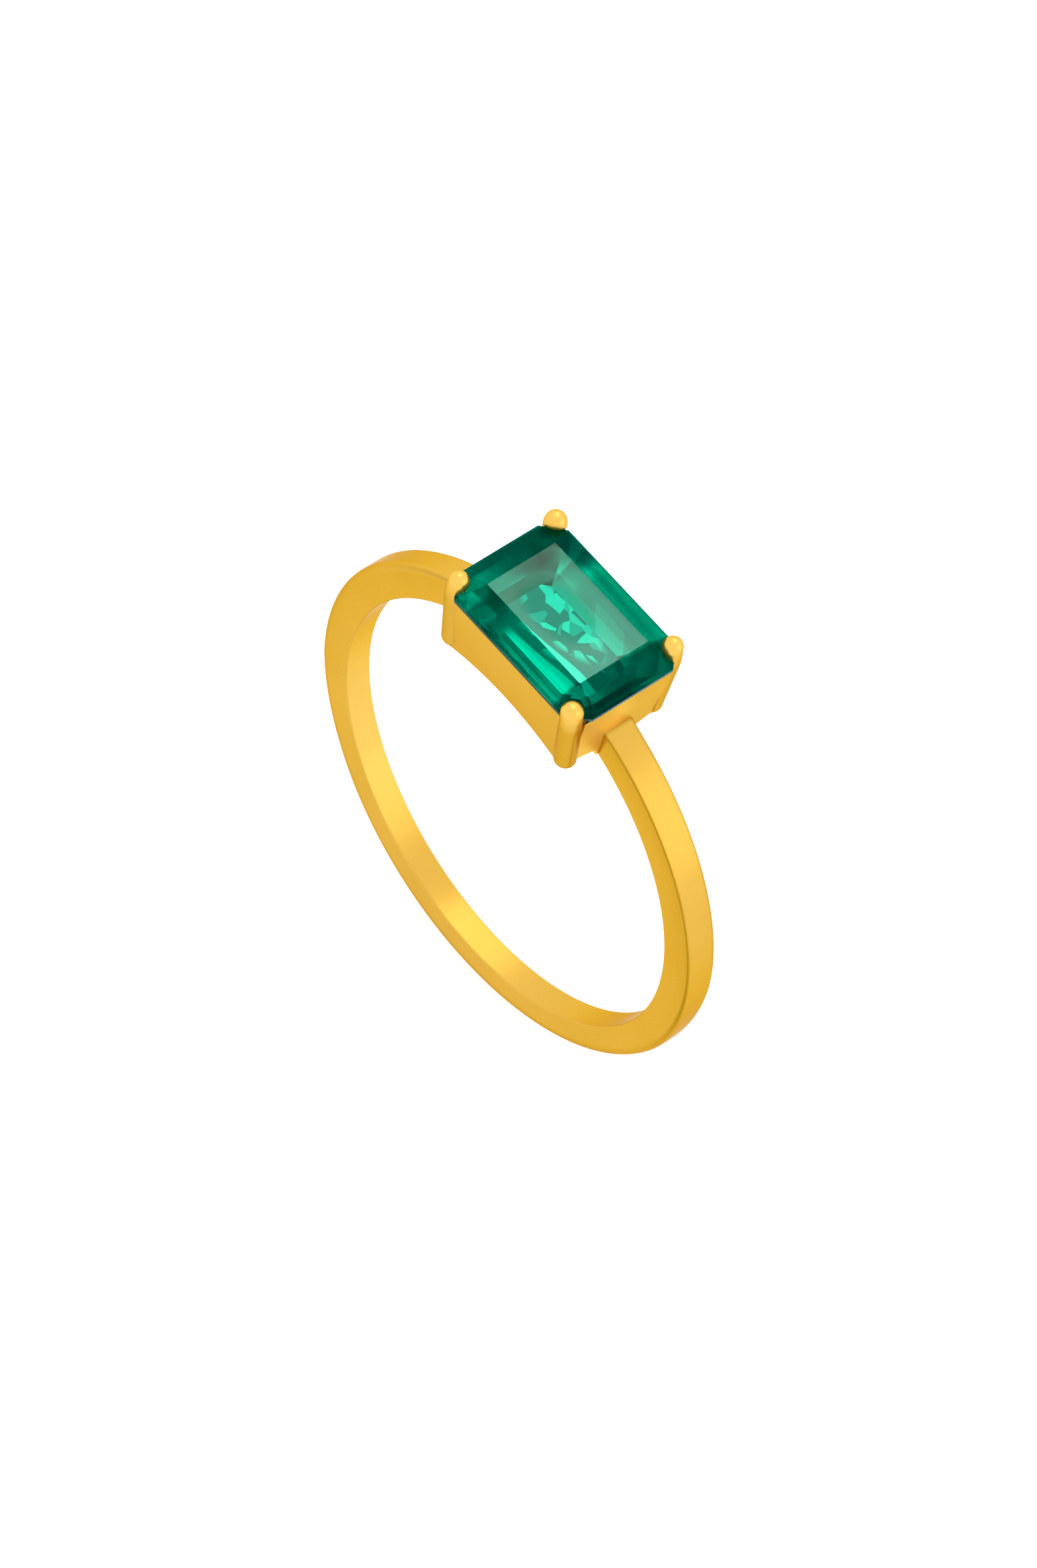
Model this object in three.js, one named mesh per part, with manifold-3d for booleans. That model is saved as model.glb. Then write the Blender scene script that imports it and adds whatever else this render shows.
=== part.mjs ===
// Cocktail ring: a slim tapered band carrying a rectangular step-cut stone, set with its long side across the finger
// in an open-bottomed four-claw gallery.
//
// Frame, in millimetres: the origin is the centre of the finger hole, +Y runs along the finger, +Z points up through the
// middle of the stone and +X runs along the stone's long side.
//
// Pieces, as they lie on a jeweller's bench before they are soldered and set:
//   shank             the band, open at the top, its two ends butting on the gallery's end walls
//   front_wall,       the two long gallery walls, their lower edges arched over the finger and their upper edges
//   back_wall         bevelled as the bearing that the stone sits on
//   left_end_wall,    the two short gallery walls, running down to the finger hole where the shank joins them
//   right_end_wall
//   claw_*            four round-ended wire claws, one at each corner, notched for the stone and domed over it
//   stone             the octagonal step-cut stone
import * as THREE from "three";
import { ConvexGeometry } from "three/addons/geometries/ConvexGeometry.js";
import { mergeVertices } from "three/addons/utils/BufferGeometryUtils.js";
import Module from "manifold-3d";

const wasm = await Module();
wasm.setup();

// ---- driving dimensions, mm ----
const BORE_R = 8.25; // finger hole, 16.5 mm across
const SHANK_HALF_WIDTH = 0.582; // half of the band's width along the finger, at its outer face
const SHANK_INNER_HALF_WIDTH = 0.508; // and at the finger hole
const SHANK_T_MEAN = 1.21; // radial thickness: mean, then how it grows from the base to the shoulders
const SHANK_T_TAPER = 0.12;
const SHANK_T_SHAPE = -0.043;
const SHANK_EDGE_SHOULDER = 0.08; // outer edge rounding at the shoulders and at the base
const SHANK_EDGE_BASE = 0.32;
const SHANK_EDGE_INNER = 0.06;
const SHANK_FLARE = 0.16; // extra thickness where the band runs up the end wall, and how quickly it dies away
const SHANK_FLARE_ANGLE = 0.035;
const SHANK_END = 0.345; // angle from the top at which the band meets the head
const SHANK_STEPS = 120;

const GIRDLE_HALF_X = 3.5; // stone 7 x 5 mm
const GIRDLE_HALF_Y = 2.5;
const GIRDLE_CHAMFER = 0.74; // clipped corners
const TABLE_HALF_X = 2.39;
const TABLE_HALF_Y = 1.49;
const TABLE_CHAMFER = 0.03;
const TABLE_Z = 11.66;
const CROWN_STEP_Z = 11.25; // the narrow crown step just above the girdle
const CROWN_STEP_INSET = 0.13;
const GIRDLE_TOP_Z = 11.12;
const GIRDLE_LOW_Z = 11.0;
const PAVILION = [
  // inset from the girdle outline and height of each pavilion step
  [0.47, 10.3],
  [1.1, 9.62],
];
const CULET_HALF_X = 1.95; // the broad flat culet that the pavilion closes on
const CULET_HALF_Y = 1.0;
const CULET_CHAMFER = 0.25;
const CULET_Z = 9.3;

const WALL_T = 0.5;
const WALL_TOP_Z = 10.97;
const LONG_WALL_Y = 2.4; // outer face of a long wall at LEAN_TOP_Z, leaning in below it
const LONG_WALL_LEAN = 0.19 / 2.4;
const LONG_WALL_HALF = 2.84; // half length; the ends are hidden in the claws
const END_WALL_X = 3.4; // outer face of an end wall at LEAN_TOP_Z
const END_WALL_LEAN = 0.2 / 3.0;
const END_WALL_HALF = 1.9;
const LEAN_TOP_Z = 11.0;
const ARCH_R = 8.6; // arched lower edge of the long walls, concentric with the finger hole
const END_WALL_LOW_Z = 7.97; // lower edge of the end walls beside the shank, rising to the claws
const END_WALL_CLAW_Z = 8.34;

const CLAW_FOOT_Z = 8.5; // centre of the round foot
const CLAW_BEND_Z = 10.9; // above this the tip is pushed in over the stone, by CLAW_TIP_IN
const CLAW_TIP_IN = 0.07;
// name, wire radius, centre of the domed tip [x, y, z] and axis of the foot [x, y]: each claw is bent by hand and stands a
// little differently
const CLAWS = [
  ["claw_front_left", 0.37, [-3.08, -2.1, 11.5], [-2.9, -1.98]],
  ["claw_front_right", 0.4, [3.05, -2.34, 11.5], [3.0, -2.0]],
  ["claw_back_left", 0.41, [-3.23, 2.29, 11.2], [-2.95, 1.97]],
  ["claw_back_right", 0.37, [2.95, 2.12, 11.5], [2.95, 1.87]],
];
const CLAW_SEGMENTS = 20;

const FIT_GAP = 0.015; // between pieces that touch

const GOLD = { color: 0xe8b645, metalness: 1.0, roughness: 0.3 };
const GREEN = {
  color: 0x057a55,
  metalness: 0.0,
  roughness: 0.03,
  transparent: true,
  opacity: 0.85,
};

// ---- solids ----
function signedVolume(position, index) {
  const [a, b, c] = [new THREE.Vector3(), new THREE.Vector3(), new THREE.Vector3()];
  let six = 0;
  for (let i = 0; i < index.count; i += 3) {
    a.fromBufferAttribute(position, index.getX(i));
    b.fromBufferAttribute(position, index.getX(i + 1));
    c.fromBufferAttribute(position, index.getX(i + 2));
    six += a.dot(b.cross(c));
  }
  return six / 6;
}
function solidFrom(geometry) {
  const g = geometry.clone();
  g.deleteAttribute("normal");
  g.deleteAttribute("uv");
  const m = mergeVertices(g, 1e-5);
  // mirrored or reversed profiles wind the wrong way: turn their faces outward
  if (signedVolume(m.attributes.position, m.index) < 0) m.index.array.reverse();
  return new wasm.Manifold(
    new wasm.Mesh({
      numProp: 3,
      vertProperties: new Float32Array(m.attributes.position.array),
      triVerts: new Uint32Array(m.index.array),
    }),
  );
}
function geometryFrom(solid) {
  const m = solid.getMesh();
  const v = new Float32Array(m.numVert * 3);
  for (let i = 0; i < m.numVert; i++)
    v.set(m.vertProperties.subarray(i * m.numProp, i * m.numProp + 3), i * 3);
  const g = new THREE.BufferGeometry();
  g.setAttribute("position", new THREE.BufferAttribute(v, 3));
  g.setIndex(new THREE.BufferAttribute(new Uint32Array(m.triVerts), 1));
  g.computeVertexNormals();
  return g;
}
function mapVertices(geometry, f) {
  const p = geometry.attributes.position;
  const v = new THREE.Vector3();
  for (let i = 0; i < p.count; i++) {
    v.fromBufferAttribute(p, i);
    f(v);
    p.setXYZ(i, v.x, v.y, v.z);
  }
  return geometry;
}
// Rings of equal length, in order, closed with flat ends.
function loft(rings) {
  const n = rings[0].length;
  const pos = [];
  for (const r of rings) for (const p of r) pos.push(p.x, p.y, p.z);
  const index = [];
  for (let i = 0; i + 1 < rings.length; i++)
    for (let j = 0; j < n; j++) {
      const a = i * n + j,
        b = i * n + ((j + 1) % n);
      index.push(a, b, b + n, a, b + n, a + n);
    }
  for (let j = 1; j + 1 < n; j++) {
    index.push(0, j + 1, j);
    const e = (rings.length - 1) * n;
    index.push(e, e + j, e + j + 1);
  }
  const g = new THREE.BufferGeometry();
  g.setAttribute("position", new THREE.Float32BufferAttribute(pos, 3));
  g.setIndex(index);
  return g;
}

// ---- stone: convex, so it is the hull of its facet corners ----
function octagon(halfX, halfY, chamfer, z) {
  const c = Math.max(chamfer, 0.001);
  return [
    [halfX - c, halfY],
    [halfX, halfY - c],
    [halfX, -halfY + c],
    [halfX - c, -halfY],
    [-halfX + c, -halfY],
    [-halfX, -halfY + c],
    [-halfX, halfY - c],
    [-halfX + c, halfY],
  ].map(([x, y]) => new THREE.Vector3(x, y, z));
}
function stonePoints(grow) {
  const inset = (d, chamfer, z) =>
    octagon(
      GIRDLE_HALF_X - d + grow,
      GIRDLE_HALF_Y - d + grow,
      chamfer + grow * 0.59,
      z,
    );
  return [
    ...octagon(TABLE_HALF_X + grow, TABLE_HALF_Y + grow, TABLE_CHAMFER + grow * 0.59, TABLE_Z + grow),
    ...inset(CROWN_STEP_INSET, GIRDLE_CHAMFER - 0.06, CROWN_STEP_Z + grow),
    ...inset(0, GIRDLE_CHAMFER, GIRDLE_TOP_Z + grow),
    ...inset(0, GIRDLE_CHAMFER, GIRDLE_LOW_Z - grow),
    ...inset(PAVILION[0][0], GIRDLE_CHAMFER * 0.86, PAVILION[0][1] - grow),
    ...inset(PAVILION[1][0], GIRDLE_CHAMFER * 0.6, PAVILION[1][1] - grow),
    ...octagon(CULET_HALF_X + grow, CULET_HALF_Y + grow, CULET_CHAMFER, CULET_Z - grow),
  ];
}
const stone = new ConvexGeometry(stonePoints(0));
const stoneCutter = solidFrom(new ConvexGeometry(stonePoints(FIT_GAP)));

// ---- claws: a lathed wire with round ends, leaned and bent over the stone ----
function clawGeometry([, radius, tip, foot], grow) {
  const r = radius + grow;
  const arc = 5;
  const quarter = [...Array(arc + 1).keys()].map((i) => ((i / arc) * Math.PI) / 2);
  const profile = [
    ...quarter.map((a) => [r * Math.sin(a), CLAW_FOOT_Z - r * Math.cos(a)]),
    ...[9.8, 10.5, CLAW_BEND_Z, 11.0, (11.0 + tip[2]) / 2].map((z) => [r, z]),
    ...quarter.map((a) => [r * Math.cos(a), tip[2] + r * Math.sin(a)]),
  ].map(([x, z]) => new THREE.Vector2(Math.abs(x) < 1e-9 ? 0 : x, z));
  const g = new THREE.LatheGeometry(profile, CLAW_SEGMENTS).rotateX(Math.PI / 2);
  const span = tip[2] - CLAW_FOOT_Z;
  return mapVertices(g, (v) => {
    const t = (v.z - CLAW_FOOT_Z) / span;
    // straight up to the bend, then in by CLAW_TIP_IN to reach the tip position
    const bend = Math.max(0, (Math.min(v.z, tip[2]) - CLAW_BEND_Z) / (tip[2] - CLAW_BEND_Z));
    const out = CLAW_TIP_IN * (Math.max(0, Math.min(1, t)) - bend ** 1.5);
    v.x += foot[0] + (tip[0] - foot[0]) * t + Math.sign(tip[0]) * out;
    v.y += foot[1] + (tip[1] - foot[1]) * t + Math.sign(tip[1]) * out;
  });
}
const claws = CLAWS.map((claw) => [claw[0], solidFrom(clawGeometry(claw, 0)).subtract(stoneCutter)]);
const clawCutter = CLAWS.map((claw) => solidFrom(clawGeometry(claw, FIT_GAP))).reduce((a, b) => a.add(b));

// ---- gallery walls ----
const bore = solidFrom(new THREE.CylinderGeometry(BORE_R, BORE_R, 8, 192));

function longWall(sy) {
  const s = new THREE.Shape();
  s.moveTo(-LONG_WALL_HALF, WALL_TOP_Z);
  const steps = 28;
  for (let i = 0; i <= steps; i++) {
    const x = -LONG_WALL_HALF + (2 * LONG_WALL_HALF * i) / steps;
    s.lineTo(x, Math.sqrt(ARCH_R ** 2 - x ** 2));
  }
  s.lineTo(LONG_WALL_HALF, WALL_TOP_Z);
  s.closePath();
  const g = new THREE.ExtrudeGeometry(s, { depth: WALL_T, bevelEnabled: false });
  // stand the profile up: (x, height, depth) becomes (x, across the finger hole, height), leaning inwards below
  mapVertices(g, (v) => {
    const out = LONG_WALL_Y - LONG_WALL_LEAN * (LEAN_TOP_Z - v.y);
    v.set(v.x, sy * (out - v.z), v.y);
  });
  return solidFrom(g).subtract(stoneCutter).subtract(clawCutter);
}
function endWall(sx) {
  const s = new THREE.Shape();
  const tab = SHANK_HALF_WIDTH; // the middle runs down to the finger hole, as wide as the shank
  s.moveTo(-END_WALL_HALF, WALL_TOP_Z);
  const steps = 8;
  for (const side of [-1, 1]) {
    for (let i = 0; i <= steps; i++) {
      const f = side < 0 ? 1 - i / steps : i / steps;
      const low = END_WALL_LOW_Z + (END_WALL_CLAW_Z - END_WALL_LOW_Z) * Math.sin((f * Math.PI) / 2);
      const point = [side * (tab + (END_WALL_HALF - tab) * f), low];
      if (side > 0 && i === 0) s.lineTo(tab, 7.0);
      s.lineTo(...point);
      if (side < 0 && i === steps) s.lineTo(-tab, 7.0);
    }
  }
  s.lineTo(END_WALL_HALF, WALL_TOP_Z);
  s.closePath();
  const g = new THREE.ExtrudeGeometry(s, { depth: WALL_T, bevelEnabled: false });
  mapVertices(g, (v) => {
    const out = END_WALL_X - END_WALL_LEAN * (LEAN_TOP_Z - v.y);
    v.set(sx * (out - v.z), v.x, v.y);
  });
  return solidFrom(g).subtract(stoneCutter).subtract(clawCutter).subtract(bore);
}

// ---- shank: a band swept round the finger hole, its section softening from the shoulders to the base ----
function shankSection(theta) {
  const t =
    SHANK_T_MEAN +
    SHANK_T_TAPER * Math.cos(theta) +
    SHANK_T_SHAPE * Math.cos(2 * theta) +
    SHANK_FLARE * Math.exp(-(Math.abs(theta) - SHANK_END) / SHANK_FLARE_ANGLE);
  const soft = 0.5 - 0.5 * Math.cos(Math.min(Math.PI, Math.max(0, (Math.abs(theta) - 1.0) / 1.3) * Math.PI));
  const ro = SHANK_EDGE_SHOULDER + (SHANK_EDGE_BASE - SHANK_EDGE_SHOULDER) * soft;
  const ri = SHANK_EDGE_INNER;
  // the rounding is taken outside the nominal corner, so that its middle passes through it
  const keep = 1 - Math.SQRT1_2;
  const wo = SHANK_HALF_WIDTH + keep * ro;
  const wi = SHANK_INNER_HALF_WIDTH + keep * ri;
  const rOut = BORE_R + t + keep * ro;
  const pts = []; // [radial, y]
  const corner = (cr, cy, rad, a0) => {
    for (let i = 0; i <= 3; i++) {
      const a = a0 + (i / 3) * (Math.PI / 2);
      pts.push([cr + rad * Math.cos(a), cy + rad * Math.sin(a)]);
    }
  };
  corner(rOut - ro, wo - ro, ro, 0); // outer, +y
  corner(BORE_R + ri, wi - ri, ri, Math.PI / 2); // inner, +y
  corner(BORE_R + ri, -wi + ri, ri, Math.PI); // inner, -y
  corner(rOut - ro, -wo + ro, ro, 1.5 * Math.PI); // outer, -y
  return pts.map(
    ([r, y]) => new THREE.Vector3(r * Math.sin(theta), y, r * Math.cos(theta)),
  );
}
function shank() {
  const rings = [];
  for (let i = 0; i <= SHANK_STEPS; i++) {
    // steps are shorter towards the two ends, where the flare is
    const f = (2 * i) / SHANK_STEPS - 1;
    const g = f - 0.12 * Math.sin(Math.PI * f);
    let theta = Math.PI + (Math.PI - SHANK_END + 0.08) * g;
    if (theta > Math.PI) theta -= 2 * Math.PI;
    rings.push(shankSection(theta));
  }
  const solid = solidFrom(loft(rings));
  // take away the head's footprint, leaning as the end walls lean
  const head = new THREE.BoxGeometry(2, 4, 8);
  mapVertices(head, (v) => {
    const z = v.z + 10;
    const out = END_WALL_X - END_WALL_LEAN * (LEAN_TOP_Z - z) + FIT_GAP;
    v.set(Math.sign(v.x) * out, v.y, z);
  });
  return solid.subtract(solidFrom(head));
}

// ---- assembly ----
const gold = () => new THREE.MeshStandardMaterial(GOLD);
const root = new THREE.Group();
function add(name, geometry, material) {
  const mesh = new THREE.Mesh(geometry, material);
  mesh.name = name;
  root.add(mesh);
  return mesh;
}
add("shank", geometryFrom(shank()), gold());
add("front_wall", geometryFrom(longWall(-1)), gold());
add("back_wall", geometryFrom(longWall(1)), gold());
add("left_end_wall", geometryFrom(endWall(-1)), gold());
add("right_end_wall", geometryFrom(endWall(1)), gold());
for (const [name, solid] of claws) add(name, geometryFrom(solid), gold());
add("stone", stone, new THREE.MeshStandardMaterial(GREEN));

export default root;
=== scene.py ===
# Cocktail ring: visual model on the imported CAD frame. Units are metres; dimensions below are written in millimetres
# and scaled by MM where the mesh is made.
import math

import bmesh
import bpy
from mathutils import Matrix, Vector


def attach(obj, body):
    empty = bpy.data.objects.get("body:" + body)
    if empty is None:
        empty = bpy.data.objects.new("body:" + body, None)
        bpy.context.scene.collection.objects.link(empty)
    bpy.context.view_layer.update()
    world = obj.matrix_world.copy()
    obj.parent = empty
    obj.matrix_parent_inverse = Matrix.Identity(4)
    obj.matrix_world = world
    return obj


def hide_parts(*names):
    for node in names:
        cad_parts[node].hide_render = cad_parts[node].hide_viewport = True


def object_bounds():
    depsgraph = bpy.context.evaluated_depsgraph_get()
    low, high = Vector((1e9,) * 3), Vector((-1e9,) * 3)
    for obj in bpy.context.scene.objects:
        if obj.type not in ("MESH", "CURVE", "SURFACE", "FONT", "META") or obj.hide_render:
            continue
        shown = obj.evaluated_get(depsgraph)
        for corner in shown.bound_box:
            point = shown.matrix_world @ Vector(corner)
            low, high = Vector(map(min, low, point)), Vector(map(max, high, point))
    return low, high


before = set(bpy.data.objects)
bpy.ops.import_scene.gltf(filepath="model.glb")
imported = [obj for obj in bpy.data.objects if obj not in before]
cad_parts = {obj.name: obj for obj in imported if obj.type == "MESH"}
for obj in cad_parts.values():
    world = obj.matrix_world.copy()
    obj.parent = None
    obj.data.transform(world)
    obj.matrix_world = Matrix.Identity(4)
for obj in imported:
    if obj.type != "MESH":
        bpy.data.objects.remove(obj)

CAD_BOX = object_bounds()
MM = 0.001

# ---- dimensions, mm ----
BORE_R = 8.25
T_MEAN, T_TAPER, T_SHAPE = 1.21, 0.12, -0.043
W_OUT, W_IN = 0.582, 0.508
FLARE_ANGLE, SHANK_END = 0.035, 0.345
END_X, END_LEAN = 3.4, 0.2 / 3.0
LONG_Y, LONG_LEAN = 2.4, 0.19 / 2.4
LEAN_TOP = 11.0
WALL_T = 0.5
GAP = 0.006

GIRDLE = (3.5, 2.5)
TABLE = (2.39, 1.49)
TABLE_Z = 11.66
P1, P2, KEEL = (0.47, 0.64, 10.3), (1.1, 0.44, 9.62), (1.95, 1.0, 9.3)

# ---- camera ----
AZ, EL, ROLL = math.radians(37.32), math.radians(55.36), math.radians(15.26)
DIST = 0.3033
LENS = 204.76
SHIFT_X, SHIFT_Y = 0.00251, 0.01457

scene = bpy.context.scene


def camera():
    back = Vector((math.sin(AZ) * math.cos(EL), -math.cos(AZ) * math.cos(EL), math.sin(EL)))
    right = Vector((math.cos(AZ), math.sin(AZ), 0.0))
    up = back.cross(right)
    r2 = math.cos(ROLL) * right + math.sin(ROLL) * up
    u2 = -math.sin(ROLL) * right + math.cos(ROLL) * up
    data = bpy.data.cameras.new("camera")
    data.sensor_fit = "AUTO"
    data.sensor_width = 36.0
    data.lens = LENS
    data.shift_x, data.shift_y = SHIFT_X, SHIFT_Y
    data.clip_start, data.clip_end = 0.01, 20.0
    ob = bpy.data.objects.new("camera", data)
    scene.collection.objects.link(ob)
    m = Matrix((r2, u2, back)).transposed().to_4x4()
    m.translation = back * DIST
    ob.matrix_world = m
    scene.camera = ob


camera()


# ---- mesh helpers ----
def piece(name, verts, faces, material, node, smooth=True):
    mesh = bpy.data.meshes.new(name)
    mesh.from_pydata([Vector(v) * MM for v in verts], [], faces)
    mesh.materials.append(material)
    if smooth:
        mesh.polygons.foreach_set("use_smooth", [True] * len(mesh.polygons))
    mesh.update()
    ob = bpy.data.objects.new(name, mesh)
    scene.collection.objects.link(ob)
    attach(ob, "root")
    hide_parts(node)
    return ob


def loft(rings, closed=False):
    """Rings of equal length joined by quads; ends capped unless the rings close on themselves."""
    n = len(rings[0])
    verts = [v for r in rings for v in r]
    faces = []
    last = len(rings) if closed else len(rings) - 1
    for i in range(last):
        a, b = i * n, ((i + 1) % len(rings)) * n
        for j in range(n):
            k = (j + 1) % n
            faces.append((a + j, a + k, b + k, b + j))
    if not closed:
        faces.append(tuple(reversed(range(n))))
        faces.append(tuple(range((len(rings) - 1) * n, len(rings) * n)))
    return verts, faces


def outward(mesh):
    """Recalculates the face directions so that the closed mesh faces out."""
    bm = bmesh.new()
    bm.from_mesh(mesh)
    bmesh.ops.recalc_face_normals(bm, faces=bm.faces)
    if bm.calc_volume(signed=True) < 0:
        bmesh.ops.reverse_faces(bm, faces=bm.faces)
    bm.to_mesh(mesh)
    bm.free()


def rounded(points, radii, steps=5):
    """A closed polygon with each corner replaced by an arc."""
    out = []
    n = len(points)
    for i in range(n):
        p0, p, p1 = Vector(points[i - 1]), Vector(points[i]), Vector(points[(i + 1) % n])
        a, b = (p0 - p).normalized(), (p1 - p).normalized()
        half = math.acos(max(-1, min(1, a.dot(b)))) / 2
        r = radii[i] if isinstance(radii, (list, tuple)) else radii
        cut = r / math.tan(half)
        centre = p + (a + b).normalized() * (r / math.sin(half))
        s, e = p + a * cut - centre, p + b * cut - centre
        turn = math.atan2(s.x * e.y - s.y * e.x, s.dot(e))
        for k in range(steps + 1):
            t = turn * k / steps
            c, d = math.cos(t), math.sin(t)
            out.append((centre.x + s.x * c - s.y * d, centre.y + s.x * d + s.y * c))
    return out


def attribute(mesh, name, values):
    a = mesh.attributes.new(name, "FLOAT", "POINT")
    a.data.foreach_set("value", values)


# ---- stone: convex, from its facet corners ----
def octagon(hx, hy, c, z):
    return [(hx - c, hy, z), (hx, hy - c, z), (hx, -hy + c, z), (hx - c, -hy, z),
            (-hx + c, -hy, z), (-hx, -hy + c, z), (-hx, hy - c, z), (-hx + c, hy, z)]


def stone_tiers(grow=0.0):
    gx, gy = GIRDLE
    g = lambda d, c, z: octagon(gx - d + grow, gy - d + grow, c, z)
    return [
        octagon(TABLE[0] + grow, TABLE[1] + grow, 0.03, TABLE_Z + grow),
        g(0.13, 0.68, 11.25 + grow),
        g(0.0, 0.74, 11.12 + grow),
        g(0.0, 0.74, 11.0 - grow),
        g(P1[0], P1[1], P1[2] - grow),
        g(P2[0], P2[1], P2[2] - grow),
        octagon(KEEL[0] + grow, KEEL[1] + grow, 0.25, KEEL[2] - grow),
    ]


def stone_mesh(name, grow=0.0):
    rings = stone_tiers(grow)
    mesh = bpy.data.meshes.new(name)
    bm = bmesh.new()
    for r in rings:
        for v in r:
            bm.verts.new(Vector(v) * MM)
    bmesh.ops.convex_hull(bm, input=bm.verts)
    bmesh.ops.dissolve_limit(bm, angle_limit=math.radians(0.5), verts=bm.verts, edges=bm.edges)
    bm.to_mesh(mesh)
    bm.free()
    outward(mesh)
    return mesh


# ---- materials ----
class Nodes:
    """Short forms for building a node material."""

    def __init__(self, name):
        self.mat = bpy.data.materials.new(name)
        self.mat.use_nodes = True
        self.tree = self.mat.node_tree
        self.tree.nodes.clear()
        self.out = self.add("ShaderNodeOutputMaterial")

    def add(self, kind, **values):
        n = self.tree.nodes.new(kind)
        for k, v in values.items():
            if hasattr(n, k):
                setattr(n, k, v)
            else:
                n.inputs[k.replace("_", " ")].default_value = v
        return n

    def link(self, a, b):
        self.tree.links.new(a, b)

    def math(self, op, a, b=None, clamp=False):
        n = self.tree.nodes.new("ShaderNodeMath")
        n.operation = op
        n.use_clamp = clamp
        for i, v in enumerate((a, b)):
            if v is None:
                continue
            if isinstance(v, (int, float)):
                n.inputs[i].default_value = v
            else:
                self.link(v, n.inputs[i])
        return n.outputs[0]

    def mix(self, fac, a, b):
        n = self.tree.nodes.new("ShaderNodeMix")
        n.data_type = "RGBA"
        for i, v in ((0, fac), (6, a), (7, b)):
            if isinstance(v, (int, float)):
                n.inputs[i].default_value = v
            elif isinstance(v, tuple):
                n.inputs[i].default_value = v if len(v) == 4 else (*v, 1.0)
            else:
                self.link(v, n.inputs[i])
        return n.outputs[2]

    def ramp(self, fac, stops):
        n = self.tree.nodes.new("ShaderNodeMapRange")
        (x0, y0), (x1, y1) = stops
        n.interpolation_type = "SMOOTHSTEP"
        for i, v in zip((1, 2, 3, 4), (x0, x1, y0, y1)):
            n.inputs[i].default_value = v
        self.link(fac, n.inputs[0])
        return n.outputs[0]


def gold_material(name, ridge=False, wall=False, wire=False):
    m = Nodes(name)
    coord = m.add("ShaderNodeTexCoord")
    # slow drift of tone over millimetres, a casting's faint orange peel, and polishing scratches of a few hundredths
    drift = m.add("ShaderNodeTexNoise", Scale=260.0, Detail=2.0)
    m.link(coord.outputs["Object"], drift.inputs["Vector"])
    peel = m.add("ShaderNodeTexNoise", Scale=2600.0, Detail=3.0)
    m.link(coord.outputs["Object"], peel.inputs["Vector"])
    stretch = m.add("ShaderNodeMapping")
    stretch.inputs["Scale"].default_value = (9000.0, 60000.0, 9000.0)
    m.link(coord.outputs["Object"], stretch.inputs["Vector"])
    scratch = m.add("ShaderNodeTexNoise", Scale=1.0, Detail=2.0)
    m.link(stretch.outputs["Vector"], scratch.inputs["Vector"])
    tone = m.ramp(drift.outputs["Fac"], ((0.3, 0.0), (0.7, 1.0)))
    colour = m.mix(tone, GOLD_A, GOLD_B)
    if ridge:
        # painted shade where the shade attribute is above zero, painted light where it is below
        at = m.add("ShaderNodeAttribute", attribute_name="shade")
        colour = m.mix(m.math("MAXIMUM", at.outputs["Fac"], 0.0), colour, GOLD_PAINTED_SHADE)
        colour = m.mix(m.math("MULTIPLY", at.outputs["Fac"], -1.0, clamp=True), colour, GOLD_PAINTED_LIGHT)
    if wall:
        # painted light on the lower part of the end walls, mostly on the -Y half, where the walls meet the shank, and a
        # painted shadow line along the top where the wall meets the stone
        xyz = m.add("ShaderNodeSeparateXYZ")
        m.link(coord.outputs["Object"], xyz.inputs[0])
        x, y, z = m.math("ABSOLUTE", xyz.outputs[0]), xyz.outputs[1], xyz.outputs[2]
        foot = m.math("MULTIPLY", m.ramp(x, ((0.0030, 0.0), (0.0031, 1.0))), m.ramp(z, ((0.0096, 1.0), (0.0107, 0.45))))
        foot = m.math("MULTIPLY", foot, m.ramp(y, ((-0.0004, 1.0), (0.0006, 0.25))))
        colour = m.mix(foot, colour, GOLD_PAINTED_FILL)
        colour = m.mix(m.ramp(z, ((0.01073, 0.0), (0.01081, 0.75))), colour, GOLD_PAINTED_SHADE)
    if wire:
        # painted shade darkens the posts a little, and a painted highlight makes the domed tips paler
        xyz = m.add("ShaderNodeSeparateXYZ")
        m.link(coord.outputs["Object"], xyz.inputs[0])
        colour = m.mix(m.ramp(xyz.outputs[2], ((0.0106, 0.0), (0.0117, 1.0))), m.mix(0.18, colour, GOLD_PAINTED_SHADE), GOLD_PAINTED_LIGHT)
    rough = m.math("ADD", m.math("MULTIPLY", peel.outputs["Fac"], 0.06), m.math("MULTIPLY", scratch.outputs["Fac"], 0.05))
    rough = m.math("ADD", rough, GOLD_ROUGH - 0.055 + (0.16 if wall else 0.0))
    b1 = m.add("ShaderNodeBump", Strength=0.015, Distance=0.000004)
    m.link(scratch.outputs["Fac"], b1.inputs["Height"])
    b2 = m.add("ShaderNodeBump", Strength=0.01, Distance=0.000015)
    m.link(peel.outputs["Fac"], b2.inputs["Height"])
    m.link(b1.outputs["Normal"], b2.inputs["Normal"])
    p = m.add("ShaderNodeBsdfPrincipled", Metallic=GOLD_METAL)
    p.inputs["Specular IOR Level"].default_value = 0.1
    p.inputs["Specular Tint"].default_value = (*GOLD_EDGE, 1.0)
    p.inputs["Coat Weight"].default_value = 0.06
    p.inputs["Coat Roughness"].default_value = 0.16
    m.link(colour, p.inputs["Base Color"])
    m.link(rough, p.inputs["Roughness"])
    m.link(b2.outputs["Normal"], p.inputs["Normal"])
    m.link(p.outputs[0], m.out.inputs["Surface"])
    return m.mat


GOLD_A = (0.665, 0.398, 0.062)
GOLD_B = (0.640, 0.380, 0.055)
# colour of painted shade
GOLD_PAINTED_SHADE = (0.38, 0.20, 0.005)
GOLD_ROUGH = 0.27
GOLD_METAL = 0.93
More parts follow.
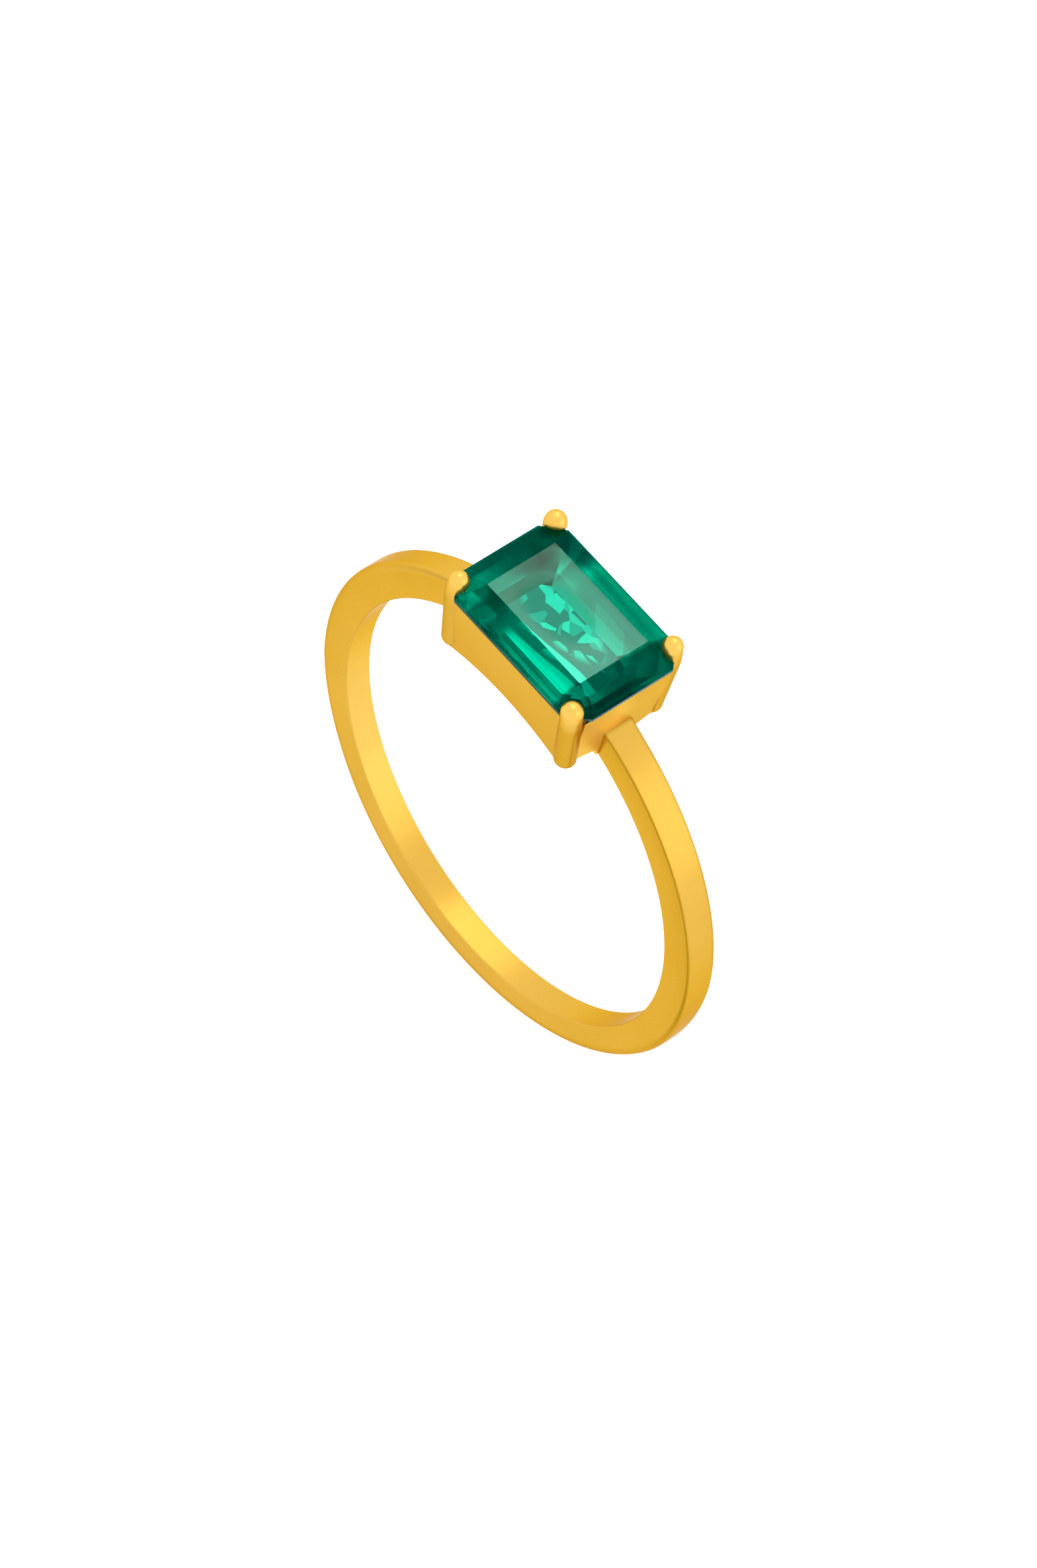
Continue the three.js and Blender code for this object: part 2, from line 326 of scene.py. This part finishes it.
# colour of painted light at the foot of the end walls
GOLD_PAINTED_FILL = (0.92, 0.65, 0.14)
# colour of painted highlight on the claw tips and painted light inside the band
GOLD_PAINTED_LIGHT = (0.76, 0.485, 0.095)
GOLD_EDGE = (0.70, 0.50, 0.20)

gold = gold_material("gold")
gold_wall = gold_material("gold_wall", wall=True)
gold_band = gold_material("gold_band", ridge=True)
gold_wire = gold_material("gold_wire", wire=True)


GEM_IOR = 1.57
PAV_ROUGH = 0.2
PAV_TINT, SHARD_TINT = (0.0, 0.45, 0.43), (0.0, 0.68, 0.66)
VEIL = (0.72, 1.02, 0.42)


def axes(m, drift=0.0):
    """The object coordinates, in millimetres, stirred a little by noise."""
    coord = m.add("ShaderNodeTexCoord")
    noise = m.add("ShaderNodeTexNoise", Scale=500.0, Detail=3.0)
    m.link(coord.outputs["Object"], noise.inputs["Vector"])
    xyz = m.add("ShaderNodeSeparateXYZ")
    m.link(coord.outputs["Object"], xyz.inputs[0])
    stir = m.math("MULTIPLY", m.math("SUBTRACT", noise.outputs["Fac"], 0.5), drift)
    return [m.math("ADD", m.math("MULTIPLY", xyz.outputs[i], 1000.0), stir) for i in range(3)]


def gem_skin(name, colour, sheen, shine):
    """Cut glass: outside, bending plus a coloured mirror whose strength follows the angle; inside, plain glass."""
    m = Nodes(name)
    side = m.add("ShaderNodeNewGeometry")
    bend = m.add("ShaderNodeBsdfRefraction", IOR=GEM_IOR, Roughness=0.0)
    gloss = m.add("ShaderNodeBsdfAnisotropic", Roughness=0.02)
    gloss.inputs["Color"].default_value = (*sheen, 1.0)
    angle = m.add("ShaderNodeFresnel", IOR=GEM_IOR)
    m.link(m.math("MULTIPLY", angle.outputs[0], shine(m), clamp=True), (outer := m.add("ShaderNodeMixShader")).inputs[0])
    m.link(colour(m), bend.inputs["Color"])
    m.link(bend.outputs[0], outer.inputs[1])
    m.link(gloss.outputs[0], outer.inputs[2])
    inner = m.add("ShaderNodeBsdfGlass", IOR=GEM_IOR, Roughness=0.0)
    inner.inputs["Color"].default_value = (0.5, 1.0, 0.9, 1.0)
    both = m.add("ShaderNodeMixShader")
    m.link(side.outputs["Backfacing"], both.inputs[0])
    m.link(outer.outputs[0], both.inputs[1])
    m.link(inner.outputs[0], both.inputs[2])
    m.link(both.outputs[0], m.out.inputs["Surface"])
    return m.mat


GEM_DEEP, GEM_CLEAR = (0.0, 0.26, 0.170), (0.0, 1.0, 0.62)


def streaks(m, low, high):
    """Fine growth lines along X."""
    coord = m.add("ShaderNodeTexCoord")
    stretch = m.add("ShaderNodeMapping")
    stretch.inputs["Scale"].default_value = (250.0, 7000.0, 7000.0)
    m.link(coord.outputs["Object"], stretch.inputs["Vector"])
    noise = m.add("ShaderNodeTexNoise", Scale=1.0, Detail=3.0)
    m.link(stretch.outputs["Vector"], noise.inputs["Vector"])
    return m.ramp(noise.outputs["Fac"], ((0.42, low), (0.62, high)))


def crown_zones(m):
    # the tint runs deep green at the -X end, clearer from the middle on, and deep again under the +X bevel
    x, y, z = axes(m, 1.2)
    along = m.ramp(x, ((-1.7, 0.0), (-0.5, 1.0)))
    end = m.ramp(x, ((2.35, 0.0), (2.55, 1.0)))
    clear = m.math("MULTIPLY", along, m.math("SUBTRACT", 1.0, m.math("MULTIPLY", end, 0.95)))
    corner = m.math("MULTIPLY", m.ramp(x, ((-2.2, 1.0), (-2.0, 0.0))), m.ramp(y, ((-1.9, 0.75), (-0.3, 0.12))))
    clear = m.math("MULTIPLY", m.math("MAXIMUM", clear, corner), streaks(m, 0.75, 1.0))
    # darker still at the back left and along the narrow step of the crown on the -Y side; round that claw, a painted
    # shadow of the claw
    back = m.math("MULTIPLY", m.ramp(y, ((1.5, 0.0), (1.6, 1.0))), m.ramp(x, ((-1.5, 1.0), (-0.9, 0.0))))
    dx, dy = m.math("ADD", x, 2.95), m.math("SUBTRACT", y, 1.95)
    away = m.math("SQRT", m.math("ADD", m.math("MULTIPLY", dx, dx), m.math("MULTIPLY", dy, dy)))
    claw = m.ramp(away, ((0.35, 0.75), (0.75, 0.0)))
    step = m.math("MULTIPLY", m.ramp(z, ((11.24, 0.45), (11.26, 0.0))), m.ramp(y, ((-1.0, 1.0), (1.0, 0.0))))
    dark = m.math("MAXIMUM", m.math("MULTIPLY", back, 0.55), m.math("MAXIMUM", claw, step))
    return m.mix(dark, m.mix(clear, GEM_DEEP, GEM_CLEAR), (0.0, 0.05, 0.035))


def table_zones(m):
    x, y, z = axes(m, 0.6)
    low = m.math("SUBTRACT", m.math("MULTIPLY", x, 0.5), y)
    return m.mix(m.ramp(low, ((-2.0, 0.0), (2.4, 1.0))), (0.0, 0.92, 0.64), (0.0, 1.0, 0.68))


def table_veil(m):
    # the sheen is thinner over the middle of the table, unevenly, and fuller towards the +X end
    x, y, z = axes(m, 0.9)
    low = m.math("SUBTRACT", m.math("MULTIPLY", x, 0.8), m.math("MULTIPLY", y, 0.6))
    dx, dy = m.math("MULTIPLY", m.math("ADD", x, 0.1), 0.7), m.math("ADD", y, 0.15)
    away = m.math("SQRT", m.math("ADD", m.math("MULTIPLY", dx, dx), m.math("MULTIPLY", dy, dy)))
    return m.math("MULTIPLY", m.ramp(low, ((-2.2, VEIL[0]), (2.6, VEIL[1]))), m.ramp(away, ((0.65, VEIL[2]), (1.2, 1.0))))


def steady(value):
    def shine(m):
        n = m.add("ShaderNodeValue")
        n.outputs[0].default_value = value
        return n.outputs[0]
    return shine


CULET_DARK, CULET_BRIGHT = 0.145, 0.52
START_A, START_B = (2.9, 8.7), (1.3, 3.7)


def foil(name, tint, rough):
    """The underside: from inside the stone it mirrors like foil; from outside it is deep green polished stone."""
    m = Nodes(name)
    p = m.add("ShaderNodeBsdfPrincipled", Metallic=1.0, Roughness=rough)
    m.link(tint(m), p.inputs["Base Color"])
    x, y, z = axes(m, 0.8)
    q = m.add("ShaderNodeBsdfPrincipled", Roughness=0.06, IOR=GEM_IOR)
    m.link(m.mix(m.ramp(z, ((9.4, 0.0), (11.0, 1.0))), (0.0, 0.10, 0.065), (0.002, 0.20, 0.135)), q.inputs["Base Color"])
    side = m.add("ShaderNodeNewGeometry")
    both = m.add("ShaderNodeMixShader")
    m.link(side.outputs["Backfacing"], both.inputs[0])
    m.link(q.outputs[0], both.inputs[1])
    m.link(p.outputs[0], both.inputs[2])
    m.link(both.outputs[0], m.out.inputs["Surface"])
    return m.mat


def shards(m, scale, share, start=(0.0, 0.0)):
    """Angular flakes: the cells of a stretched Voronoi pattern, a share of them bright."""
    coord = m.add("ShaderNodeTexCoord")
    warp = m.add("ShaderNodeTexNoise", Scale=900.0, Detail=1.0)
    m.link(coord.outputs["Object"], warp.inputs["Vector"])
    vec = m.add("ShaderNodeVectorMath", operation="MULTIPLY_ADD")
    m.link(warp.outputs["Color"], vec.inputs[0])
    vec.inputs[1].default_value = (0.0003, 0.0003, 0.0)
    m.link(coord.outputs["Object"], vec.inputs[2])
    flat = m.add("ShaderNodeMapping")
    flat.inputs["Location"].default_value = (start[0] * MM, start[1] * MM, 0.0)
    flat.inputs["Rotation"].default_value = (0.0, 0.0, 0.5)
    flat.inputs["Scale"].default_value = (0.8, 1.25, 0.15)
    m.link(vec.outputs[0], flat.inputs["Vector"])
    cells = m.add("ShaderNodeTexVoronoi", Scale=scale, Randomness=1.0)
    m.link(flat.outputs["Vector"], cells.inputs["Vector"])
    pick = m.add("ShaderNodeSeparateColor")
    m.link(cells.outputs["Color"], pick.inputs[0])
    flake = m.ramp(pick.outputs[0], ((1 - share, 0.0), (1 - share + 0.02, 1.0)))
    return m.math("MULTIPLY", flake, m.ramp(pick.outputs[1], ((0.0, 0.35), (1.0, 1.0))))


def pavilion_tint(m):
    x, y, z = axes(m, 0.4)
    tint = m.mix(m.math("MULTIPLY", shards(m, 900.0, 0.3), 0.6), PAV_TINT, SHARD_TINT)
    end = m.mix(m.ramp(x, ((-2.5, 0.0), (-2.3, 1.0))), (0.0, 0.64, 0.63), (0.0, 1.0, 0.98))
    return m.mix(m.ramp(x, ((-1.97, 1.0), (-1.80, 0.0))), tint, end)


def culet_tint(m):
    x, y, z = axes(m, 0.25)
    # a bright sliver widening along the -Y edge, and flakes about the middle
    width = m.ramp(x, ((-1.4, -0.70), (1.7, -0.44)))
    sliver = m.math("MULTIPLY", m.ramp(m.math("SUBTRACT", width, y), ((0.0, 0.0), (0.03, 1.0))), m.ramp(x, ((-1.5, 0.0), (-0.6, 1.0))))
    dx, dy = m.math("MULTIPLY", m.math("ADD", x, 0.45), 0.40), m.math("SUBTRACT", y, 0.36)
    away = m.math("SQRT", m.math("ADD", m.math("MULTIPLY", dx, dx), m.math("MULTIPLY", dy, dy)))
    flakes = m.math("MAXIMUM", shards(m, 1700.0, 0.33, START_A), shards(m, 2700.0, 0.28, START_B))
    flakes = m.math("MULTIPLY", flakes, m.ramp(away, ((0.65, 0.75), (0.9, 0.0))))
    fac = m.math("MAXIMUM", sliver, flakes)
    d, b = CULET_DARK, CULET_BRIGHT
    tint = m.mix(fac, (0.0, d, d * 0.98), (0.0, b, b * 0.98))
    # the outer strip, which only shows through the -Y side of the crown
    outer = m.math("MULTIPLY", m.ramp(y, ((-0.76, 1.0), (-0.70, 0.0))), m.ramp(x, ((-1.5, 0.0), (-0.4, 1.0))))
    return m.mix(outer, tint, (0.0, 0.64, 0.64))


gem_table = gem_skin("gem_table", table_zones, (1.0, 1.0, 1.0), table_veil)
gem_crown = gem_skin("gem_crown", crown_zones, (0.0, 0.30, 0.22), steady(1.0))
gem_pavilion = foil("gem_pavilion", pavilion_tint, PAV_ROUGH)
gem_culet = foil("gem_culet", culet_tint, 0.05)


def girdle_material():
    """The ground rim: satin and deep green, with a pale painted reflection where it faces +X; from inside the stone,
    plain glass.
    """
    m = Nodes("gem_girdle")
    x, y, z = axes(m, 0.05)
    p = m.add("ShaderNodeBsdfPrincipled", Roughness=0.35, IOR=GEM_IOR)
    p.inputs["Specular IOR Level"].default_value = 0.12
    # painted reflection where the rim faces +X
    painted_reflection = m.math("MULTIPLY", m.ramp(x, ((3.40, 0.0), (3.46, 1.0))), streaks(m, 0.45, 1.0))
    m.link(m.mix(painted_reflection, (0.0, 0.05, 0.035), (0.05, 0.15, 0.19)), p.inputs["Base Color"])
    inner = m.add("ShaderNodeBsdfGlass", IOR=GEM_IOR, Roughness=0.0)
    inner.inputs["Color"].default_value = (0.5, 1.0, 0.9, 1.0)
    side = m.add("ShaderNodeNewGeometry")
    both = m.add("ShaderNodeMixShader")
    m.link(side.outputs["Backfacing"], both.inputs[0])
    m.link(p.outputs[0], both.inputs[1])
    m.link(inner.outputs[0], both.inputs[2])
    m.link(both.outputs[0], m.out.inputs["Surface"])
    return m.mat


gem_girdle = girdle_material()

# ---- stone ----
mesh = stone_mesh("step_cut_stone")
for mat in (gem_crown, gem_pavilion, gem_table, gem_culet, gem_girdle):
    mesh.materials.append(mat)
for f in mesh.polygons:
    up = f.normal.z
    f.material_index = 3 if up < -0.99 else 1 if up < -0.05 else 4 if up < 0.05 else 2 if up > 0.99 else 0
stone = bpy.data.objects.new("step_cut_stone", mesh)
scene.collection.objects.link(stone)
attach(stone, "root")
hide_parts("stone")

# ---- shank ----
def shank_piece():
    rings, shade = [], []
    steps = 420
    for i in range(steps + 1):
        f = 2 * i / steps - 1
        g = f + 0.25 * math.sin(math.pi * f)
        theta = math.pi + (math.pi - SHANK_END) * g  # SHANK_END .. 2 pi - SHANK_END
        from_end = min(theta, 2 * math.pi - theta) - SHANK_END
        side = 1 if theta < math.pi else -1
        a = theta if side > 0 else 2 * math.pi - theta  # angle from the top, 0..pi
        s = from_end * 9.3
        t = T_MEAN + T_TAPER * math.cos(a) + T_SHAPE * math.cos(2 * a) + 0.03 * math.exp(-from_end / FLARE_ANGLE)
        soft = 0.5 - 0.5 * math.cos(min(math.pi, max(0, (a - 1.15) / 1.1) * math.pi))
        # the ridge is crisp on the +X side as far as the lower quarter, and fades sooner on the other
        crisp = 0.5 + 0.5 * math.cos(min(math.pi, max(0, (a - (1.35 if side > 0 else 0.35)) / 0.8) * math.pi))
        if side < 0:
            soft = max(soft, 0.26 - 0.26 * math.cos(min(math.pi, max(0, (a - 0.38) / 0.4) * math.pi)))
        ro = 0.05 + 0.40 * soft
        ri = 0.05
        keep = 1 - math.sqrt(0.5)
        rise = keep * min(ro, 0.32)
        rise -= max(0.0, rise - 0.045) * math.sin(a) ** 4  # stays within the widest point of the ring
        wo, wi = W_OUT + rise, W_IN + keep * ri
        widen = 0.03 * math.exp(-from_end / 0.05)
        r1 = BORE_R + t + rise
        corners = [(r1, wo + widen), (BORE_R, wi), (BORE_R, -wi), (r1, -wo - widen)]
        sec = rounded(corners, [ro, ri, ri, ro], 8)
        # extra points along the straight sides, so that shade has somewhere to sit
        pts = []
        n = len(sec)
        for k in range(n):
            p0, p1 = Vector(sec[k]), Vector(sec[(k + 1) % n])
            pts.append(p0)
            if k % 9 == 8:  # after the last point of each arc
                for q in range(1, 12):
                    pts.append(p0.lerp(p1, 0.5 - 0.5 * math.cos(math.pi * q / 12)))
        ring = []
        for p in pts:
            r, y = p
            A = r * math.hypot(1, END_LEAN)
            end = math.atan(END_LEAN) + math.asin((END_X + 0.001 - LEAN_TOP * END_LEAN) / A)
            b = a + (end - SHANK_END) * math.exp(-from_end / 0.12)
            ring.append((side * r * math.sin(b), y, r * math.cos(b)))
            # painted shade: darker towards the outer ridge on each side face, a thin dark line on the ridge itself near
            # the shoulders, and a dark line on the shank where it meets the end wall
            edge = abs(math.hypot(r - (r1 - ro * 0.3), abs(y) - (wo + widen - ro * 0.3)))
            line = (1.2 if side > 0 else 0.5) * math.exp(-((edge / (0.028 + 0.3 * (ro - 0.05))) ** 2)) * crisp
            joint = 0.55 * math.exp(-((s / 0.08) ** 2))
            face = 0.0
            if abs(y) > W_IN - 0.01:
                face = 0.25 * (1 - soft) * max(0.0, min(1.0, (r - BORE_R) / t)) ** 1.5
            # painted light: the inside of the -X half is paler, fading out towards the bottom
            inside = 1.0 if r < BORE_R + 0.03 and abs(y) < wi - 0.02 and side < 0 else 0.0
            shade.append(min(1.0, line + face + joint) - inside * min(1.0, max(0.0, (2.6 - a) / 0.5)))
        rings.append(ring)
    verts, faces = loft(rings)
    ob = piece("shank_band", verts, faces, gold_band, "shank")
    attribute(ob.data, "shade", shade)
    outward(ob.data)
    ob.data.set_sharp_from_angle(angle=math.radians(40))
    return ob


shank_piece()


# ---- gallery walls ----
def long_wall(name, node, sy):
    half = 2.80
    rings = []
    steps = 96
    for i in range(steps + 1):
        x = -half + 2 * half * i / steps
        low = math.sqrt(8.6**2 - x * x)
        out = lambda z: LONG_Y - LONG_LEAN * (LEAN_TOP - z)
        # the seat: the stone's lower facet, with a hair's gap
        seat_in = 10.3 + (0.7 / 0.47) * (out(10.2) - WALL_T - (GIRDLE[1] - 0.47)) - 0.02
        seat_in = max(seat_in, 9.9)
        top = 11.0 - (GIRDLE[1] - out(10.9)) * (0.7 / 0.47) - 0.02
        quad = [(out(low), low), (out(top), top), (out(seat_in) - WALL_T, seat_in), (out(low) - WALL_T, low)]
        sec = rounded(quad, [0.07, 0.02, 0.04, 0.07], 5)
        rings.append([(x, sy * y, z) for y, z in sec])
    verts, faces = loft(rings)
    ob = piece(name, verts, faces, gold_wall, node)
    outward(ob.data)
    ob.data.set_sharp_from_angle(angle=math.radians(40))
    return ob


def end_wall(name, node, sx):
    half = 1.9
    rings = []
    ys = sorted({round(-half + 2 * half * i / 60, 4) for i in range(61)} | {s * (0.56 + 0.02 * k) for s in (-1, 1) for k in range(16)})
    for y in ys:
        f = max(0.0, (abs(y) - 0.585) / (1.9 - 0.585))
        low = 7.97 + (8.34 - 7.97) * math.sin(min(1, f) * math.pi / 2)
        tab = 0.5 - 0.5 * math.cos(math.pi * min(1, max(0, (0.84 - abs(y)) / 0.26)))
        out = lambda z: END_X - END_LEAN * (LEAN_TOP - z)
        low_out = low + (math.sqrt(BORE_R**2 - out(7.5) ** 2) + 0.005 - low) * tab
        low_in = low + (math.sqrt(BORE_R**2 - (out(7.7) - WALL_T) ** 2) + 0.005 - low) * tab
        seat_in = max(10.3 + (0.7 / 0.47) * (out(10.2) - WALL_T - (GIRDLE[0] - 0.47)) - 0.02, 9.9)
        top = 11.0 - (GIRDLE[0] - out(10.9)) * (0.7 / 0.47) - 0.02
        quad = [(out(low_out), low_out), (out(top), top), (out(seat_in) - WALL_T, seat_in), (out(low_in) - WALL_T, low_in)]
        sec = rounded(quad, [0.06, 0.02, 0.04, 0.06], 5)
        rings.append([(sx * x, y, z) for x, z in sec])
    verts, faces = loft(rings)
    ob = piece(name, verts, faces, gold_wall, node)
    outward(ob.data)
    ob.data.set_sharp_from_angle(angle=math.radians(40))
    return ob


long_wall("gallery_front", "front_wall", -1)
long_wall("gallery_back", "back_wall", 1)
end_wall("gallery_left", "left_end_wall", -1)
end_wall("gallery_right", "right_end_wall", 1)

# ---- claws ----
CLAWS = [
    ("claw_front_left", 0.37, (-3.08, -2.10, 11.5), (-2.90, -1.98)),
    ("claw_front_right", 0.40, (3.05, -2.34, 11.5), (3.00, -2.00)),
    ("claw_back_left", 0.41, (-3.23, 2.29, 11.2), (-2.95, 1.97)),
    ("claw_back_right", 0.37, (2.95, 2.12, 11.5), (2.95, 1.87)),
]
FOOT_Z, BEND_Z, TIP_IN = 8.5, 10.9, 0.07


def claw(node, r, tip, foot, cutter):
    profile = []
    top = tip[2]
    for k in range(13):
        a = math.pi / 2 * k / 12
        profile.append((r * math.sin(a), FOOT_Z - r * math.cos(a)))
    z = FOOT_Z
    while z < top - 0.09:
        z += 0.1
        # a faint neck below the domed tip
        profile.append((r * (1 - 0.035 * math.exp(-(((z - top + 0.40) / 0.22) ** 2))), z))
    for k in range(13):
        a = math.pi / 2 * k / 12
        profile.append((r * math.cos(a), top + r * math.sin(a)))
    n = 48
    rings = []
    for rad, z in profile:
        t = (z - FOOT_Z) / (top - FOOT_Z)
        bend = max(0.0, (min(z, top) - BEND_Z) / (top - BEND_Z))
        out = TIP_IN * (max(0, min(1, t)) - bend**1.5)
        cx = foot[0] + (tip[0] - foot[0]) * t + math.copysign(out, tip[0])
        cy = foot[1] + (tip[1] - foot[1]) * t + math.copysign(out, tip[1])
        rad = max(rad, 1e-4)
        rings.append([(cx + rad * math.cos(2 * math.pi * k / n), cy + rad * math.sin(2 * math.pi * k / n), z) for k in range(n)])
    verts, faces = loft(rings)
    ob = piece(node + "_wire", verts, faces, gold_wire, node)
    outward(ob.data)
    mod = ob.modifiers.new("notch", "BOOLEAN")
    mod.operation, mod.solver, mod.object = "DIFFERENCE", "EXACT", cutter
    dg = bpy.context.evaluated_depsgraph_get()
    notched = bpy.data.meshes.new_from_object(ob.evaluated_get(dg))
    ob.modifiers.clear()
    ob.data = notched
    notched.polygons.foreach_set("use_smooth", [True] * len(notched.polygons))
    notched.set_sharp_from_angle(angle=math.radians(40))
    return ob


cutter = bpy.data.objects.new("notch_cutter", stone_mesh("notch_cutter", GAP))
scene.collection.objects.link(cutter)
for c in CLAWS:
    claw(*c, cutter)
cut_mesh = cutter.data
bpy.data.objects.remove(cutter)
bpy.data.meshes.remove(cut_mesh)


# ---- studio ----
def floor():
    m = Nodes("floor_paper")
    coord = m.add("ShaderNodeTexCoord")
    grain = m.add("ShaderNodeTexNoise", Scale=900.0, Detail=3.0)
    m.link(coord.outputs["Object"], grain.inputs["Vector"])
    p = m.add("ShaderNodeBsdfPrincipled", Roughness=0.9)
    m.link(m.mix(grain.outputs["Fac"], (0.44, 0.44, 0.44), (0.46, 0.46, 0.46)), p.inputs["Base Color"])
    p.inputs["Specular IOR Level"].default_value = 0.1
    # lit from below as well, like a light table, so that shadows stay faint
    p.inputs["Emission Color"].default_value = (1.0, 1.0, 1.0, 1.0)
    p.inputs["Emission Strength"].default_value = 0.68
    m.link(p.outputs[0], m.out.inputs["Surface"])
    s, z = 3.0, CAD_BOX[0][2] - 0.00002
    mesh = bpy.data.meshes.new("floor")
    mesh.from_pydata([(-s, -s, z), (s, -s, z), (s, s, z), (-s, s, z)], [], [(0, 1, 2, 3)])
    mesh.materials.append(m.mat)
    ob = bpy.data.objects.new("floor", mesh)
    scene.collection.objects.link(ob)


floor()


def softbox(name, direction, distance, size, radiance, colour=(1, 1, 1)):
    """A square area light facing the ring, whose face has the given radiance."""
    d = Vector(direction).normalized()
    light = bpy.data.lights.new(name, "AREA")
    light.shape, light.size = "SQUARE", size
    light.energy = radiance * math.pi * size * size
    light.color = colour
    ob = bpy.data.objects.new(name, light)
    scene.collection.objects.link(ob)
    ob.location = d * distance
    ob.rotation_euler = d.to_track_quat("Z", "Y").to_euler()


world = bpy.data.worlds.new("studio")
scene.world = world
world.use_nodes = True
wt = world.node_tree
wt.nodes.clear()
bg = wt.nodes.new("ShaderNodeBackground")
bg.inputs["Color"].default_value = (1.0, 1.0, 1.0, 1.0)
bg.inputs["Strength"].default_value = 1.3
wo = wt.nodes.new("ShaderNodeOutputWorld")
wt.links.new(bg.outputs[0], wo.inputs["Surface"])

softbox("key_overhead", (-0.345, 0.452, 0.8227), 0.6, 0.34, 0.76)
softbox("fill_right_back", (0.82, 0.45, 0.45), 0.7, 0.5, 0.45)
softbox("spark", (-0.10, 0.25, 0.96), 0.6, 0.075, 6.0)

scene.view_settings.view_transform = "Standard"
scene.view_settings.look = "None"
scene.cycles.max_bounces = 24
scene.cycles.transmission_bounces = 20
scene.cycles.glossy_bounces = 10
scene.cycles.diffuse_bounces = 4
scene.cycles.use_denoising = True
